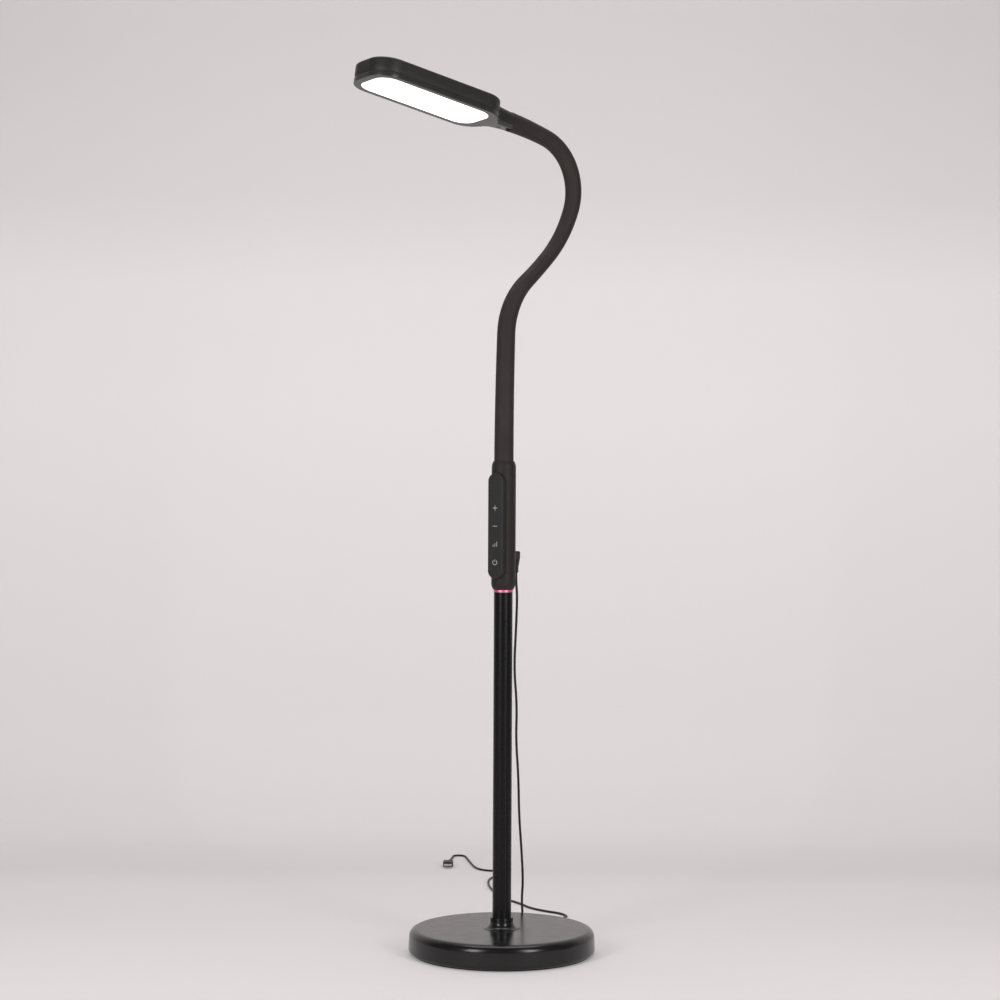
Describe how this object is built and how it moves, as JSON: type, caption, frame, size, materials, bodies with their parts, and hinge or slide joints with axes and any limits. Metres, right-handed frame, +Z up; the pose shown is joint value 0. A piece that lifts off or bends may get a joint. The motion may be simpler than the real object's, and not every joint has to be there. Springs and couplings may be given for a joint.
{
  "type": "gooseneck reading floor lamp",
  "caption": "Floor lamp for reading: weighted round base, slim pole with a touch-control housing, bendable neck and a flat rounded LED head, with its power lead.",
  "frame": {"origin": "middle of the base's underside, where it rests on the floor", "axes": "+Z up along the pole; the neck bends in the XZ plane and the head points towards -X"},
  "size_m": [0.5839, 0.7398, 1.056],
  "materials": {
    "base_black": "satin powder coat",
    "pole_black": "satin paint",
    "weight_cement": "cast cement",
    "plate_steel": "zinc plated",
    "pad_rubber": "soft matte",
    "screw_steel": "zinc plated",
    "screw_black": "blackened",
    "trim_pink": "polished pink plating",
    "housing_black": "fine matte texture",
    "strip_black": "semi-gloss with pale printed signs",
    "board_green": "solder mask",
    "jack_black": "moulded",
    "lead_white": "soft sheath",
    "sleeve_black": "matte silicone",
    "conduit_steel": "wound steel",
    "head_black": "satin",
    "bezel_black": "satin",
    "diffuser_white": "opal, lit",
    "guide_clear": "clear acrylic",
    "reflector_white": "white film",
    "led_white": "white strip with light-emitting diodes",
    "back_aluminium": "rolled sheet",
    "cord_black": "soft black sheath",
    "plug_metal": "nickel plated"
  },
  "bodies": {
    "stand": {"base_cover": "base_black", "base_weight": "weight_cement", "base_plate": "plate_steel", "base_pad": "pad_rubber", "base_washer": "screw_steel", "base_bolt": "screw_steel", "pole_collar": "base_black", "pole_tube": "pole_black", "pole_insert_lower": "screw_steel", "pole_insert_upper": "screw_steel", "trim_ring": "trim_pink", "pole_spigot": "screw_steel", "housing_front": "housing_black", "housing_rear": "housing_black", "housing_screws": "screw_steel", "touch_strip": "strip_black", "control_board": "board_green", "touch_springs": "screw_steel", "dc_jack": "jack_black", "neck_ferrule": "screw_steel", "lower_lead": "lead_white", "neck_sleeve_1": "sleeve_black", "neck_core_1": "conduit_steel", "dc_plug": "cord_black", "dc_plug_barrel": "plug_metal", "strain_relief": "cord_black", "power_cord": "cord_black", "usb_plug": "cord_black", "usb_shell": "plug_metal"},
    "neck_link_2": {"neck_sleeve_2": "sleeve_black", "neck_core_2": "conduit_steel"},
    "neck_link_3": {"neck_sleeve_3": "sleeve_black", "neck_core_3": "conduit_steel"},
    "neck_link_4": {"neck_sleeve_4": "sleeve_black", "neck_core_4": "conduit_steel"},
    "neck_link_5": {"neck_sleeve_5": "sleeve_black", "neck_core_5": "conduit_steel"},
    "neck_link_6": {"neck_sleeve_6": "sleeve_black", "neck_core_6": "conduit_steel"},
    "neck_link_7": {"neck_sleeve_7": "sleeve_black", "neck_core_7": "conduit_steel"},
    "neck_link_8": {"neck_sleeve_8": "sleeve_black", "neck_core_8": "conduit_steel"},
    "head": {"neck_sleeve_9": "sleeve_black", "neck_core_9": "conduit_steel", "head_ferrule": "screw_steel", "upper_lead": "lead_white", "head_shell": "head_black", "head_bezel": "bezel_black", "diffuser": "diffuser_white", "light_guide": "guide_clear", "reflector": "reflector_white", "led_strips": "led_white", "back_plate": "back_aluminium", "yoke_screw": "screw_black"}
  },
  "joints": [
    {"name": "neck_sway_low", "type": "hinge", "parent": "stand", "child": "neck_link_2", "pos_m": [0.00016, 0, 0.6319], "axis": [1, 0, -0.0082], "range_deg": [-20, 20]},
    {"name": "neck_bend_low", "type": "hinge", "parent": "neck_link_2", "child": "neck_link_3", "pos_m": [0.00091, 0, 0.68589], "axis": [0, 1, 0], "range_deg": [-30, 15]},
    {"name": "neck_sway_low_2", "type": "hinge", "parent": "neck_link_3", "child": "neck_link_4", "pos_m": [0.00229, 0, 0.73988], "axis": [0.9995, 0, -0.0314], "range_deg": [-20, 20]},
    {"name": "neck_bend_low_2", "type": "hinge", "parent": "neck_link_4", "child": "neck_link_5", "pos_m": [0.01508, 0, 0.79164], "axis": [0, 1, 0], "range_deg": [-30, 15]},
    {"name": "neck_sway_high", "type": "hinge", "parent": "neck_link_5", "child": "neck_link_6", "pos_m": [0.05153, 0, 0.83117], "axis": [0.7052, 0, -0.709], "range_deg": [-20, 20]},
    {"name": "neck_bend_high", "type": "hinge", "parent": "neck_link_6", "child": "neck_link_7", "pos_m": [0.0857, 0, 0.87276], "axis": [0, 1, 0], "range_deg": [-20, 35]},
    {"name": "neck_sway_high_2", "type": "hinge", "parent": "neck_link_7", "child": "neck_link_8", "pos_m": [0.10409, 0, 0.92306], "axis": [0.9978, 0, -0.0661], "range_deg": [-20, 20]},
    {"name": "neck_bend_high_2", "type": "hinge", "parent": "neck_link_8", "child": "head", "pos_m": [0.08728, 0, 0.97288], "axis": [0, 1, 0], "range_deg": [-20, 35]}
  ],
  "couplings": [
    {"joint": "neck_sway_low_2", "follows": "neck_sway_low", "ratio": 1},
    {"joint": "neck_bend_low_2", "follows": "neck_bend_low", "ratio": 1},
    {"joint": "neck_sway_high_2", "follows": "neck_sway_high", "ratio": 1},
    {"joint": "neck_bend_high_2", "follows": "neck_bend_high", "ratio": 1}
  ]
}
